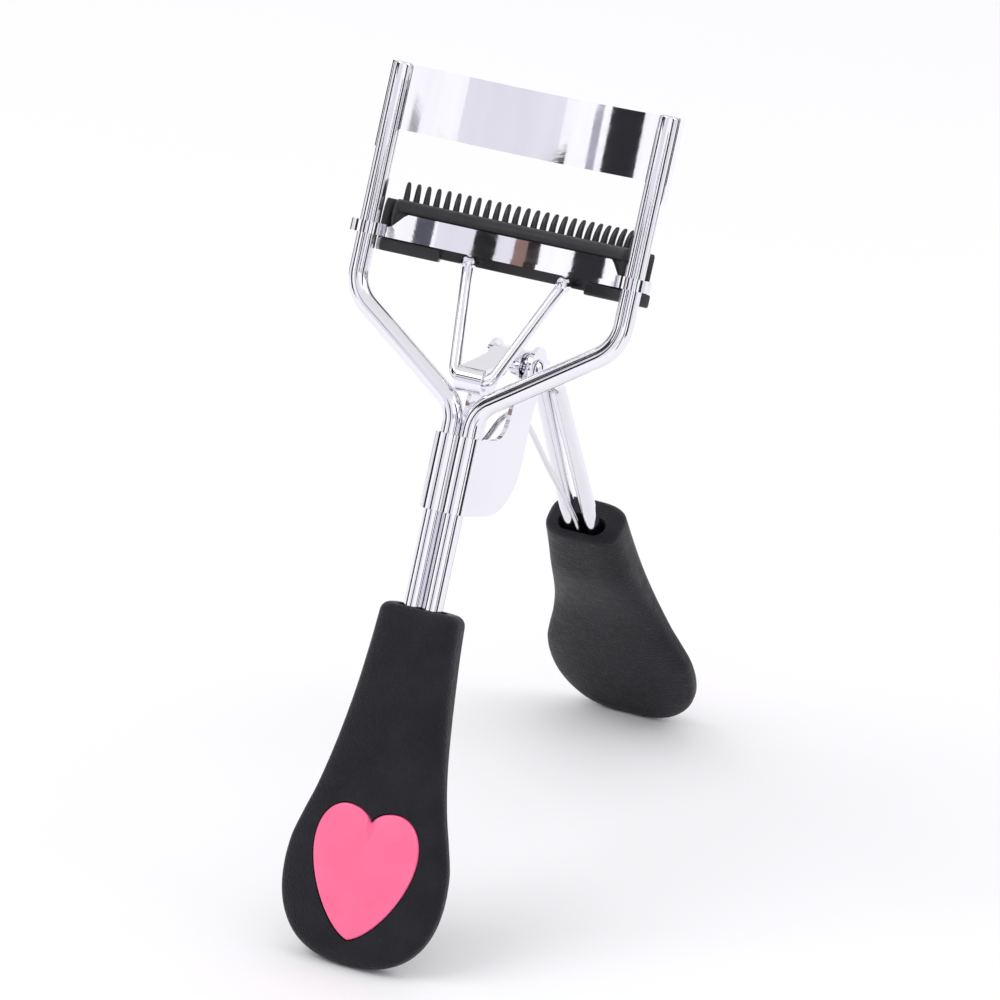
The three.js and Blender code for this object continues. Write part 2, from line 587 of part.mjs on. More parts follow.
const handle = new THREE.Group();
handle.rotation.x = -HANDLE_LEAN;
handle.add(
  piece("front_clamp", frontClamp(), chrome()),
  piece("pivot_pin", pivotPin(), chrome()),
  piece("pivot_washer_left", pivotWasher(-1), chrome()),
  piece("pivot_washer_right", pivotWasher(1), chrome()),
  piece("front_grip", grip(HANDLE_LEAN, FRONT_LOW, FRONT_SHIFT, 0), blackGrip()),
  piece("front_heart", heart(FRONT_SHIFT), pink()),
  piece("lever_head", leverHead(), chrome()),
  piece("lever_wire_left", leverWire(-1), chrome()),
  piece("lever_wire_right", leverWire(1), chrome()),
  piece("return_spring", returnSpring(), chrome()),
);

const head = new THREE.Group();
head.rotation.x = -HEAD_LEAN;
head.position.copy(HEAD_FOOT);
head.add(
  piece("frame_wire_left", frameWire(-1), chrome()),
  piece("frame_wire_right", frameWire(1), chrome()),
  piece("upper_plate", upperPlate(), chrome()),
  piece("lash_bar", lashBar(), chrome()),
  piece("silicone_pad", siliconePad(), blackPad()),
  piece("lash_comb", lashComb(), blackComb()),
  piece("link_wire", linkWire(), chrome()),
  piece("link_collar_left", linkCollar(-1), chrome()),
  piece("link_collar_right", linkCollar(1), chrome()),
);

const lever = new THREE.Group();
lever.rotation.x = LEVER_LEAN;
lever.position.copy(LEVER_FOOT);
const turned = new THREE.Group();
turned.rotation.z = Math.PI;
turned.add(
  piece("rear_grip", grip(LEVER_LEAN, REAR_LOW, REAR_SHIFT, REAR_SWELL), blackGrip()),
  piece("rear_heart", heart(REAR_SHIFT), pink()),
);
lever.add(turned);

const group = new THREE.Group();
const stand = new THREE.Group();
stand.add(handle, head, lever);
group.add(stand);
group.updateMatrixWorld(true);
const bounds = new THREE.Box3().setFromObject(group, true);
stand.position.set(0, -(bounds.min.y + bounds.max.y) / 2, -(FRONT_LOW + FOOT_CUT));

export default group;
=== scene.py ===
"""Looks of the eyelash curler: chrome wires and sheet, satin grips with pink hearts, silicone pad, comb."""

import math

import bmesh
import bpy
from mathutils import Matrix, Vector


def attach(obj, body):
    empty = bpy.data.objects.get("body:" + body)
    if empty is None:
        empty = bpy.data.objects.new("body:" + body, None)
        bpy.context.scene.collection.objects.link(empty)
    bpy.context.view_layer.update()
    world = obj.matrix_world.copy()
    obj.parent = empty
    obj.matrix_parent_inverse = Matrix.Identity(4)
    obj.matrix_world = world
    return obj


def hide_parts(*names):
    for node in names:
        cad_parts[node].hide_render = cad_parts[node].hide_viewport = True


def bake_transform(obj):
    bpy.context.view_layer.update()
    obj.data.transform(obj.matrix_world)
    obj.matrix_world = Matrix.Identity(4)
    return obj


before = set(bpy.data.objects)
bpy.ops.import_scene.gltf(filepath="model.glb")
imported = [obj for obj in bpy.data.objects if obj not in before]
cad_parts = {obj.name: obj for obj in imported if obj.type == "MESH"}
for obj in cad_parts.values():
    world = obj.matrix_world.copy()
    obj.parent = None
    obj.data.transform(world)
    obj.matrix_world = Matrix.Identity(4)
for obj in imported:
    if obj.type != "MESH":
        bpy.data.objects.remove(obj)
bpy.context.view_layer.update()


# ---- the frame's own leaning axes, in millimetres ---------------------------------------------------
def leaning(y, z, degrees):
    lean = Matrix.Rotation(math.radians(degrees), 4, "X")
    return Matrix.Scale(0.001, 4) @ Matrix.Translation((0, y, z)) @ lean


HANDLE = leaning(-43.6316, 0.1202, -19.5)
HEAD = leaning(-44.2848, 0.3554, -20.1)
LEVER = leaning(42.2021, -0.8469, 33.2)
LEVER_TURNED = LEVER @ Matrix.Rotation(math.pi, 4, "Z")
HANDLE_TO_HEAD = HEAD.inverted() @ HANDLE
LEVER_TO_HANDLE = HANDLE.inverted() @ LEVER

# ---- dimensions, in millimetres ---------------------------------------------------------------------
WIRE_R, WIRE_U = 1.2, 1.22           # frame wires: radius, half spacing in the throat
RAIL_U = 16.75                       # half spacing of the side rails
THROAT_V, CORNER_V, TOP_V = 66.3, 76.9, 104
WIRE_END = 33.5                      # how far down the wires reach inside a grip

PIVOT = (12.6, 72.05)                # depth and height in handle axes
BEND = (25.3, 70.35)
LEVER_WIRE_R = 1.0
LEVER_WIRE_U, LEVER_END_U = 1.04, 1.68
SPRING_R = 0.35
SPRING_ON_HANDLE = [(2.5, 56.6), (3.1, 58.6), (5.2, 60.7), (8.7, 63.1), (12.7, 65.8), (17, 66.4),
                    (21.7, 64.9), (32, 59.9), (41.8, 55.5)]
SPRING_ON_LEVER = [(-1, 43.2), (-0.9, 37)]

LINK_LOW = (-0.1, 69.8)              # depth and height in head axes
LINK_HALF, LINK_R = 2.3, 0.68
BALL, BALL_R = (6.1, 6.45, 82.63), 0.96
STEM_R, STEM_RISE = 0.42, 1.05       # stem of the link, and how far it rises above the bar's underside

BAR = 83.65                          # underside of the bar
ARC_R, ARC_N = 30.5, 6.85            # plan arc of bar, pad and comb, and how far its middle lies to the rear
PAD_HALF, COMB_HALF, LEDGE_FROM = 15.3, 16, 9.3
TEETH, TEETH_HALF, TEETH_OFFSET = 27, 14.95, 1.97

GRIP_LENGTH = 42.6
END_V, END_A, END_POWER = 10.8, 10.25, 2.4      # rounded end: its height, half width and roundness
GRIP_SIDE = [(END_V, END_A), (13.4, 10), (16.5, 9.15), (20, 8.1), (25, 7), (31, 6.05), (37, 5.4),
             (GRIP_LENGTH, 5)]
GRIP_POWER = 3.1                     # squareness of the cross section
TIP_V = 2.4                          # height over which the tip thins out
RIM_R = 1.15                         # rounding of the upper rim
SOCKET_U, SOCKET_R, SOCKET_FLOOR = 1.75, 1.42, 33.1
FRONT_SHIFT, REAR_SHIFT = 0.9, -1.25
REAR_SWELL = 0.95                    # extra depth on the inner side of the rear grip's neck

HEART_V = 12.2                       # height of the heart's middle
HEART_GAP = 0.13
RECESS_FLOOR = -1.5
HEART_FOOT, HEART_SHOULDER, HEART_ROUND, HEART_DOME = -1.53, -2.35, 0.36, 0.34
CREASE_DEPTH, CREASE_WIDTH = 0.3, 0.42


# ---- materials --------------------------------------------------------------------------------------
class Nodes:
    """Adds and links the nodes of one material."""

    def __init__(self, name):
        self.material = bpy.data.materials.new(name)
        self.material.use_nodes = True
        self.tree = self.material.node_tree
        self.bsdf = self.tree.nodes["Principled BSDF"]
        self.place = self.add("ShaderNodeTexCoord").outputs["Object"]

    def add(self, kind):
        return self.tree.nodes.new(kind)

    def join(self, a, b):
        self.tree.links.new(a, b)

    def feed(self, output, name):
        self.join(output, self.bsdf.inputs[name])

    def constants(self, **values):
        for key, value in values.items():
            self.bsdf.inputs[key.replace("_", " ")].default_value = value

    def noise(self, scale, detail, stretch=None):
        n = self.add("ShaderNodeTexNoise")
        n.inputs["Scale"].default_value = scale
        n.inputs["Detail"].default_value = detail
        source = self.place
        if stretch:
            m = self.add("ShaderNodeMapping")
            m.inputs["Scale"].default_value = stretch
            self.join(source, m.inputs["Vector"])
            source = m.outputs["Vector"]
        self.join(source, n.inputs["Vector"])
        return n.outputs["Fac"]

    def cells(self, scale):
        v = self.add("ShaderNodeTexVoronoi")
        v.feature = "DISTANCE_TO_EDGE"
        v.inputs["Scale"].default_value = scale
        self.join(self.place, v.inputs["Vector"])
        return v.outputs["Distance"]

    def tones(self, factor, low, dark, high, light):
        """Colour that goes from dark to light while the factor goes from low to high."""
        r = self.add("ShaderNodeValToRGB")
        for element, at, colour in zip(r.color_ramp.elements, (low, high), (dark, light)):
            element.position = at
            element.color = (*colour, 1)
        self.join(factor, r.inputs["Fac"])
        return r.outputs["Color"]

    def spread(self, factor, low, high):
        m = self.add("ShaderNodeMapRange")
        for key, value in zip(("From Min", "From Max", "To Min", "To Max"), (0.3, 0.7, low, high)):
            m.inputs[key].default_value = value
        self.join(factor, m.inputs["Value"])
        return m.outputs["Result"]

    def bump(self, height, strength, distance, after=None):
        b = self.add("ShaderNodeBump")
        b.inputs["Strength"].default_value = strength
        b.inputs["Distance"].default_value = distance
        self.join(height, b.inputs["Height"])
        if after:
            self.join(after, b.inputs["Normal"])
        return b.outputs["Normal"]


def polished(name, stretch, low, high, tint=(0.865, 0.86, 0.905)):
    """Bright plating: faint clouding in colour and gloss, hairline polishing marks, a slow ripple."""
    k = Nodes(name)
    k.constants(Metallic=1.0)
    darker = tuple(c * 0.965 for c in tint)
    k.feed(k.tones(k.noise(90, 3), 0.3, darker, 0.7, tint), "Base Color")
    k.feed(k.spread(k.noise(420, 5, stretch), low, high), "Roughness")
    hairlines = k.bump(k.noise(1500, 2, stretch), 0.06, 0.00002)
    k.feed(k.bump(k.noise(240, 1), 0.10, 0.00003, hairlines), "Normal")
    return k.material


def satin_grip():
    """Soft-touch moulded grip: near black with a blue cast and a fine leather-like grain."""
    k = Nodes("satin_grip")
    k.constants(Specular_IOR_Level=0.2, Sheen_Weight=0.03, Sheen_Roughness=0.5)
    base = k.tones(k.noise(260, 5), 0.25, (0.0055, 0.0055, 0.0085), 0.8, (0.0125, 0.0125, 0.018))
    k.feed(base, "Base Color")
    k.feed(k.spread(k.noise(900, 4), 0.36, 0.5), "Roughness")
    grain = k.bump(k.cells(3000), 0.9, 0.00014)
    k.feed(k.bump(k.noise(2600, 4), 0.8, 0.00012, grain), "Normal")
    return k.material


def silicone():
    """Matt black silicone with a slightly uneven skin."""
    k = Nodes("silicone_black")
    k.constants(Specular_IOR_Level=0.4)
    k.feed(k.tones(k.noise(300, 4), 0.3, (0.011, 0.011, 0.013), 0.75, (0.021, 0.021, 0.025)), "Base Color")
    k.feed(k.spread(k.noise(800, 3), 0.42, 0.56), "Roughness")
    k.feed(k.bump(k.noise(1400, 4), 0.12, 0.00004), "Normal")
    return k.material


def moulded_comb():
    """Harder, glossier black plastic with faint mould texture."""
    k = Nodes("moulded_comb")
    k.constants(Specular_IOR_Level=0.5)
    k.feed(k.tones(k.noise(500, 3), 0.3, (0.007, 0.007, 0.009), 0.75, (0.014, 0.014, 0.017)), "Base Color")
    k.feed(k.spread(k.noise(600, 4), 0.24, 0.36), "Roughness")
    k.feed(k.bump(k.noise(900, 3), 0.08, 0.00004), "Normal")
    return k.material


def pink_inlay():
    """Soft glossy plastic with faint clouding in its pink."""
    k = Nodes("pink_inlay")
    k.constants(Specular_IOR_Level=0.45, Coat_Weight=0.35, Coat_Roughness=0.16,
                Subsurface_Weight=0.08, Subsurface_Scale=0.0015)
    k.feed(k.tones(k.noise(130, 3), 0.2, (0.93, 0.115, 0.262), 0.8, (0.99, 0.165, 0.345)), "Base Color")
    k.feed(k.spread(k.noise(700, 4), 0.3, 0.4), "Roughness")
    k.feed(k.bump(k.noise(350, 4), 0.10, 0.00005), "Normal")
    return k.material


CHROME = polished("chrome_sheet", (1, 6, 1), 0.035, 0.075)
WIRE = polished("chrome_wire", (7, 7, 1), 0.03, 0.065)
SPRING = polished("spring_steel", (9, 9, 1), 0.08, 0.16, (0.80, 0.80, 0.83))
GRIP, PAD, COMB, PINK = satin_grip(), silicone(), moulded_comb(), pink_inlay()


# ---- curves -----------------------------------------------------------------------------------------
def turns(count):
    """Angles once round a circle."""
    return [2 * math.pi * k / count for k in range(count)]


def quarter(count):
    """Sine and cosine at even steps through a quarter turn, both ends included."""
    return [(math.sin(math.pi / 2 * k / count), math.cos(math.pi / 2 * k / count)) for k in range(count + 1)]


def signed_power(value, power):
    return math.copysign(abs(value) ** power, value)


def smooth(t):
    t = min(max(t, 0), 1)
    return t * t * (3 - 2 * t)


def between(p0, p1, p2, p3, f):
    """Point at f of the way from p1 to p2 on the smooth curve through the four points."""
    a, b = (p2 - p0) / 2, (p3 - p1) / 2
    return (2 * p1 - 2 * p2 + a + b) * f ** 3 + (3 * p2 - 3 * p1 - 2 * a - b) * f ** 2 + a * f + p1


def spline(points, count):
    """Open smooth curve through the points, in count steps."""
    pts = [Vector(p) for p in points]
    last = len(pts) - 1
    out = []
    for i in range(count + 1):
        t = i / count * last
        k = min(int(t), last - 1)
        out.append(between(pts[max(k - 1, 0)], pts[k], pts[k + 1], pts[min(k + 2, last)], t - k))
    return out


def loop_spline(points, count):
    """Closed smooth curve through the points, in count steps."""
    pts = [Vector(p) for p in points]
    n = len(pts)
    out = []
    for i in range(count):
        t = i / count * n
        k = int(t)
        out.append(between(pts[k - 1], pts[k % n], pts[(k + 1) % n], pts[(k + 2) % n], t - k))
    return out


def bent(corners, radii):
    """Straight runs joined by arcs, as a list of points."""
    arc_steps, run_steps = 22, 10
    pts = [Vector(c) for c in corners]
    out = [pts[0]]
    for i, r in enumerate(radii, 1):
        a, b = (pts[i - 1] - pts[i]).normalized(), (pts[i + 1] - pts[i]).normalized()
        half = a.angle(b) / 2
        centre = pts[i] + (a + b).normalized() * (r / math.sin(half))
        p = pts[i] + a * (r / math.tan(half)) - centre
        q = pts[i] + b * (r / math.tan(half)) - centre
        axis, sweep = p.cross(q).normalized(), p.angle(q)
        start = out[-1]
        out += [start.lerp(centre + p, k / run_steps) for k in range(1, run_steps)]
        out += [centre + Matrix.Rotation(sweep * k / arc_steps, 3, axis) @ p for k in range(arc_steps + 1)]
    start = out[-1]
    return out + [start.lerp(pts[-1], k / run_steps) for k in range(1, run_steps + 1)]


def round_rect(x0, x1, y0, y1, r):
    steps = 5
    out = []
    corners = ((x1 - r, y1 - r, 0), (x0 + r, y1 - r, 90), (x0 + r, y0 + r, 180), (x1 - r, y0 + r, 270))
    for cx, cy, start in corners:
        for k in range(steps + 1):
            a = math.radians(start + 90 * k / steps)
            out.append((cx + r * math.cos(a), cy + r * math.sin(a)))
    return out


def arc_at(offset, angle):
    """Plan point on the arc of bar, pad and comb."""
    r = ARC_R + offset
    return r * math.sin(angle), ARC_N - ARC_R + r * math.cos(angle)


def arc_angle(half_width, offset=0.0):
    return math.asin(half_width / (ARC_R + offset))


# ---- skins: lists of vertices and faces ---------------------------------------------------------------
def skin(rings):
    """Closed skin through rings of equal length, with fanned ends."""
    verts = [Vector(p) for ring in rings for p in ring]
    m = len(rings[0])
    faces = []
    for i in range(len(rings) - 1):
        for j in range(m):
            a, b = i * m + j, i * m + (j + 1) % m
            faces.append((a, b, b + m, a + m))
    for first, flip in ((0, True), ((len(rings) - 1) * m, False)):
        c = len(verts)
        verts.append(sum(verts[first:first + m], Vector()) / m)
        for j in range(m):
            a, b = first + j, first + (j + 1) % m
            faces.append((c, b, a) if flip else (c, a, b))
    return verts, faces


def merged(*skins):
    verts, faces = [], []
    for v, f in skins:
        faces += [tuple(i + len(verts) for i in face) for face in f]
        verts += v
    return verts, faces


def wire(points, radius, side, around, round_end=0.0):
    """Round wire along points; its last end is rounded over by round_end. side is never along the wire."""
    side = Vector(side)
    last = len(points) - 1

    def ring(p, t, r):
        x = (side - t * side.dot(t)).normalized()
        y = t.cross(x)
        return [p + x * (r * math.cos(a)) + y * (r * math.sin(a)) for a in turns(around)]

    rings = []
    for i, p in enumerate(points):
        t = (points[min(i + 1, last)] - points[max(i - 1, 0)]).normalized()
        if i == last and round_end:
            rings += [ring(p - t * (round_end * (1 - s)), t, radius - round_end * (1 - c))
                      for s, c in quarter(6)]
        else:
            rings.append(ring(p, t, radius))
    return skin(rings)


def ball(centre, radius):
    around, levels = 40, 20
    c = Vector(centre)
    rings = []
    for i in range(1, levels):
        lift = math.pi * i / levels - math.pi / 2
        rings.append([c + radius * Vector((math.cos(a) * math.cos(lift), math.sin(a) * math.cos(lift),
                                           math.sin(lift))) for a in turns(around)])
    return skin(rings)


def swept(section, a0, a1, steps, ease=0.25):
    """Section of (offset, height) points carried along the plan arc, its two ends rounded over by ease."""
    end_steps, shrink = 6, 0.9
    middle = sum(o for o, _ in section) / len(section)
    level = sum(h for _, h in section) / len(section)
    pull = ease / ARC_R
    start = []
    for k in range(end_steps):
        a = math.pi / 2 * (k + 0.6) / end_steps
        start.append((a0 - pull * math.cos(a) + pull, 1 - (1 - math.sin(a)) * shrink))
    straight = [(a0 + pull + (a1 - a0 - 2 * pull) * i / steps, 1) for i in range(steps + 1)]
    end = [(a0 + a1 - a, s) for a, s in reversed(start)]
    rings = []
    for a, s in start + straight + end:
        ring = []
        for o, h in section:
            x, y = arc_at(middle + (o - middle) * s, a)
            ring.append(Vector((x, y, BAR + level + (h - level) * s)))
        rings.append(ring)
    return skin(rings)


# ---- objects ------------------------------------------------------------------------------------------
def place(name, mesh):
    obj = bpy.data.objects.new(name, mesh)
    bpy.context.scene.collection.objects.link(obj)
    return obj


def make(name, parts, axes, material=None, sharp=None):
    """Object from a skin given in leaning axes; edges over the angle sharp, in degrees, stay crisp."""
    verts, faces = parts
    mesh = bpy.data.meshes.new(name)
    mesh.from_pydata([axes @ v for v in verts], [], faces)
    bm = bmesh.new()
    bm.from_mesh(mesh)
    bmesh.ops.recalc_face_normals(bm, faces=bm.faces)
    bm.to_mesh(mesh)
    bm.free()
    mesh.shade_smooth()
    if sharp:
        mesh.set_sharp_from_angle(angle=math.radians(sharp))
    if material:
        mesh.materials.append(material)
    return place(name, mesh)


def settle(obj, body, node):
    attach(obj, body)
    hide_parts(node)


def soften(obj, width, angle, segments):
    """Breaks the edges that are sharper than angle, in degrees."""
    b = obj.modifiers.new("edges", "BEVEL")
    b.width, b.segments, b.limit_method, b.angle_limit = width, segments, "ANGLE", math.radians(angle)
    b.harden_normals = True
    b.use_clamp_overlap = True


def carve(obj, cutters):
    """Cuts the cutters out of obj and removes them, then cleans up the slivers they leave."""
    for cutter in cutters:
        m = obj.modifiers.new("cut", "BOOLEAN")
        m.operation, m.solver, m.object = "DIFFERENCE", "MANIFOLD", cutter
    bpy.context.view_layer.update()
    done = bpy.data.meshes.new_from_object(obj.evaluated_get(bpy.context.evaluated_depsgraph_get()))
    obj.modifiers.clear()
    old = obj.data
    obj.data = done
    bpy.data.meshes.remove(old)
    for cutter in cutters:
        bpy.data.objects.remove(cutter)
    bm = bmesh.new()
    bm.from_mesh(obj.data)
    bmesh.ops.remove_doubles(bm, verts=bm.verts, dist=4e-6)
    bmesh.ops.dissolve_degenerate(bm, dist=2e-6, edges=bm.edges)
    bm.to_mesh(obj.data)
    bm.free()
    obj.data.shade_smooth()


# ---- grips and hearts ---------------------------------------------------------------------------------
def grip_skin(shift, swell):
    """Paddle with a rounded end, a waisted neck and a rounded upper rim."""
    around, end_steps, neck_steps = 132, 26, 64
    side = spline([(v, a, 0) for v, a in GRIP_SIDE], 120)

    def half_width(v):
        if v < END_V:
            return END_A * (1 - (1 - v / END_V) ** END_POWER) ** (1 / END_POWER)
        for p, q in zip(side, side[1:]):
            if v <= q.x:
                return p.y + (q.y - p.y) * (v - p.x) / (q.x - p.x)
        return side[-1].y

    rim_foot = GRIP_LENGTH - RIM_R
    levels = [(END_V * (1 - math.cos(math.pi / 2 * (k + 0.35) / end_steps)), 0.0) for k in range(end_steps)]
    levels += [(END_V + (rim_foot - END_V) * k / neck_steps, 0.0) for k in range(neck_steps + 1)]
    levels += [(GRIP_LENGTH - RIM_R * (1 - s), RIM_R * (1 - c)) for s, c in quarter(9)[1:]]
    power = 2 / GRIP_POWER
    rings = []
    for v, inset in levels:
        outer = -2.6 - 0.5 * smooth((v - 18) / 20)
        inner = 1.3 + (1.1 + swell) * smooth((v - 21) / 14)
        tip = math.sqrt(1 - (1 - v / TIP_V) ** 2 * 0.9) if v < TIP_V else 1
        a = half_width(v) - inset
        b = (inner - outer) / 2 * tip - inset * 0.8
        mid = shift + (inner + outer) / 2
        rings.append([(a * signed_power(math.cos(t), power), mid + b * signed_power(math.sin(t), power), v)
                      for t in turns(around)])
    return skin(rings)


def heart_outline(grow, per_curve):
    """Heart about its own middle, moved outward by grow."""
    right = [((0, -9.1), (2.9, -8.3), (6.7, -2.4), (6.55, 2)),
             ((6.55, 2), (6.45, 5.2), (4.6, 6.5), (3.1, 6.5)),
             ((3.1, 6.5), (1.7, 6.5), (0.5, 5.9), (0, 4.9))]
    pts = []
    for curve in right:
        for i in range(per_curve):
            t = i / per_curve
            w = ((1 - t) ** 3, 3 * t * (1 - t) ** 2, 3 * t * t * (1 - t), t ** 3)
            pts.append(tuple(w[0] * a + w[1] * b + w[2] * c + w[3] * d for a, b, c, d in zip(*curve)))
    pts.append(right[-1][-1])
    pts += [(-x, z) for x, z in reversed(pts[1:-1])]
    out = []
    for i, (x, z) in enumerate(pts):
        (ax, az), (bx, bz) = pts[i - 1], pts[(i + 1) % len(pts)]
        d = math.hypot(bx - ax, bz - az)
        out.append((x + grow * (bz - az) / d, z - grow * (bx - ax) / d))
    return out


def grip(name, node, axes, shift, swell, body):
    obj = make(name, grip_skin(shift, swell), axes, GRIP)
    recess = skin([[(x, shift + y, HEART_V + z) for x, z in heart_outline(HEART_GAP, 20)]
                   for y in (RECESS_FLOOR, -8)])
    stadium = []
    for cx, start in ((SOCKET_U, -90), (-SOCKET_U, 90)):
        for k in range(21):
            a = math.radians(start + 180 * k / 20)
            stadium.append((cx + SOCKET_R * math.cos(a), SOCKET_R * math.sin(a)))
    socket = skin([[(x, y, v) for x, y in stadium] for v in (SOCKET_FLOOR, GRIP_LENGTH + 1.4)])
    carve(obj, [make("recess_cutter", recess, axes), make("socket_cutter", socket, axes)])
    for v in obj.data.vertices:      # the small flat that the grip stands on
        v.co.z = max(v.co.z, 0.0)
    obj.data.set_sharp_from_angle(angle=math.radians(50))
    soften(obj, 0.00022, 50, 3)
    settle(obj, body, node)


def heart(name, node, axes, shift, body):
    """Upright wall, rounded shoulder and low dome, with a crease that runs down from the cleft."""
    shoulder_steps, dome_steps = 9, 17
    levels = [(HEART_FOOT, 1.0, 0.0), (HEART_SHOULDER, 1.0, 0.0)]
    levels += [(HEART_SHOULDER - HEART_ROUND * s, 1.0, HEART_ROUND * (1 - c))
               for s, c in quarter(shoulder_steps)[1:]]
    for k in range(1, dome_steps):
        s = 1 - k / dome_steps
        levels.append((HEART_SHOULDER - HEART_ROUND - HEART_DOME * (1 - s ** 2) ** 0.9, s, HEART_ROUND * s))
    outline = heart_outline(0, 26)
    rings = []
    for y, s, inset in levels:
        ring = []
        for x, z in outline:
            shrink = 1 - inset / max(math.hypot(x, z), 1.5)
            px, pz = x * s * shrink, z * s * shrink
            crease = CREASE_DEPTH * math.exp(-(px / CREASE_WIDTH) ** 2) * smooth((pz - 1.2) / 3.4)
            ring.append((px, shift + y + (crease if y < HEART_SHOULDER - 0.05 else 0), HEART_V + pz))
        rings.append(ring)
    settle(make(name, skin(rings), axes, PINK), body, node)


grip("grip_front", "front_grip", HANDLE, FRONT_SHIFT, 0, "frame")
heart("heart_front", "front_heart", HANDLE, FRONT_SHIFT, "frame")
grip("grip_rear", "rear_grip", LEVER_TURNED, REAR_SHIFT, REAR_SWELL, "lever")
heart("heart_rear", "rear_heart", LEVER_TURNED, REAR_SHIFT, "lever")

# ---- wires --------------------------------------------------------------------------------------------
CRISP = 60                           # edges sharper than this, in degrees, stay crisp on the wires
for sign, word in ((-1, "left"), (1, "right")):
    path = bent([HANDLE_TO_HEAD @ Vector((sign * WIRE_U, 0, WIRE_END)), (sign * WIRE_U, 0, THROAT_V),
                 (sign * RAIL_U, 0, CORNER_V), (sign * RAIL_U, 0, TOP_V)], [4, 5])
    rail = make(f"rail_{word}", wire(path, WIRE_R, (0, 1, 0), 48, 0.35), HEAD, WIRE, CRISP)
    settle(rail, "frame", f"frame_wire_{word}")
    path = bent([(sign * LEVER_WIRE_U, PIVOT[0] + 3.1, PIVOT[1] - 0.25), (sign * LEVER_WIRE_U, *BEND),
                 LEVER_TO_HANDLE @ Vector((sign * LEVER_END_U, 0, WIRE_END))], [3.4])
    path.reverse()
    arm = make(f"arm_{word}", wire(path, LEVER_WIRE_R, (1, 0, 0), 44, 0.3), HANDLE, WIRE, CRISP)
    settle(arm, "lever", f"lever_wire_{word}")

ball_u, ball_n, ball_v = BALL
rise = (Vector((0, ball_n, ball_v)) - Vector((0, *LINK_LOW))).normalized()
link_path = bent([(-ball_u, ball_n, ball_v), (-LINK_HALF, *LINK_LOW), (LINK_HALF, *LINK_LOW), BALL],
                 [1.3, 1.3])
link_parts = [wire(link_path, LINK_R, (0, rise.z, -rise.y), 40)]
for sign in (1, -1):
    link_parts.append(ball((sign * ball_u, ball_n, ball_v), BALL_R))
    stem = [Vector((sign * ball_u, ball_n, ball_v + f * (BAR + STEM_RISE - ball_v))) for f in (0, 0.5, 1)]
    link_parts.append(wire(stem, STEM_R, (1, 0, 0), 32, 0.12))
settle(make("link", merged(*link_parts), HEAD, WIRE, CRISP), "link", "link_wire")

spring_points = [Vector((0, n, v)) for n, v in SPRING_ON_HANDLE]
spring_points += [LEVER_TO_HANDLE @ Vector((0, y, z)) for y, z in SPRING_ON_LEVER]
spring_path = spline(spring_points, 150)
spring_path.reverse()
spring = make("spring", wire(spring_path, SPRING_R, (1, 0, 0), 28, 0.1), HANDLE, SPRING, CRISP)
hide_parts("return_spring")
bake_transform(spring)

# ---- pad and comb, as (offset, height) above the bar's underside ------------------------------------------
PAD_SECTION = [(-1.3, 1.15), (-1.3, 2.1), (-1.3, 3.0), (-1.6, 3.35), (-1.6, 3.9), (-1.2, 4.4), (-0.6, 4.65),
               (0, 4.7), (0.6, 4.6), (1.1, 4.2), (1.28, 3.6), (1.15, 3.15), (0.9, 2.9), (0.9, 2.0),
               (0.9, 1.15), (-0.2, 1.13)]
TOOTH_LEVELS = [(4.2, 0, 0.4, 0.42), (4.8, 0.03, 0.37, 0.39), (5.4, 0.09, 0.34, 0.35), (5.9, 0.2, 0.32, 0.32),
                (6.3, 0.34, 0.29, 0.29), (6.6, 0.47, 0.25, 0.25), (6.8, 0.57, 0.19, 0.19),
                (6.89, 0.61, 0.1, 0.1)]      # height, lean to the rear, half width, half depth

pad_section = [(p.x, p.y) for p in loop_spline([(o, h, 0) for o, h in PAD_SECTION], 72)]
reach = arc_angle(PAD_HALF)
settle(make("pad", swept(pad_section, -reach, reach, 96, 0.5), HEAD, PAD), "bar", "silicone_pad")


def tooth(angle):
    """Tapered tooth that leans to the rear and ends in a rounded tip."""
    rings = []
    for h, lean, half_x, half_y in TOOTH_LEVELS:
        ring = []
        for t in turns(20):
            x, y = arc_at(TEETH_OFFSET + lean + half_y * signed_power(math.sin(t), 0.8),
                          angle + half_x * signed_power(math.cos(t), 0.8) / ARC_R)
            ring.append(Vector((x, y, BAR + h)))
        rings.append(ring)
    return skin(rings)


wide, ledge = arc_angle(COMB_HALF), arc_angle(LEDGE_FROM)
comb_parts = [swept(round_rect(1.57, 2.37, -1.2, 4.6, 0.22), -wide, wide, 80)]
for near, far in ((ledge, wide), (-wide, -ledge)):
    comb_parts.append(swept(round_rect(-0.6, 3, -1.6, -0.06, 0.3), near, far, 24))
reach = arc_angle(TEETH_HALF, TEETH_OFFSET)
comb_parts += [tooth(-reach + 2 * reach * i / (TEETH - 1)) for i in range(TEETH)]
settle(make("comb", merged(*comb_parts), HEAD, COMB, 55), "bar", "lash_comb")


# ---- carried-over sheet parts: welded, shaded by angle, edges broken ----------------------------------
SHARP = 33                           # degrees
EDGE_WIDTHS = {"upper_plate": 0.00009, "front_clamp": 0.00010, "pivot_pin": 0.00005,
               "pivot_washer_left": 0.00004, "pivot_washer_right": 0.00004, "lash_bar": 0.00009,
               "link_collar_left": 0.00005, "link_collar_right": 0.00005, "lever_head": 0.00008}


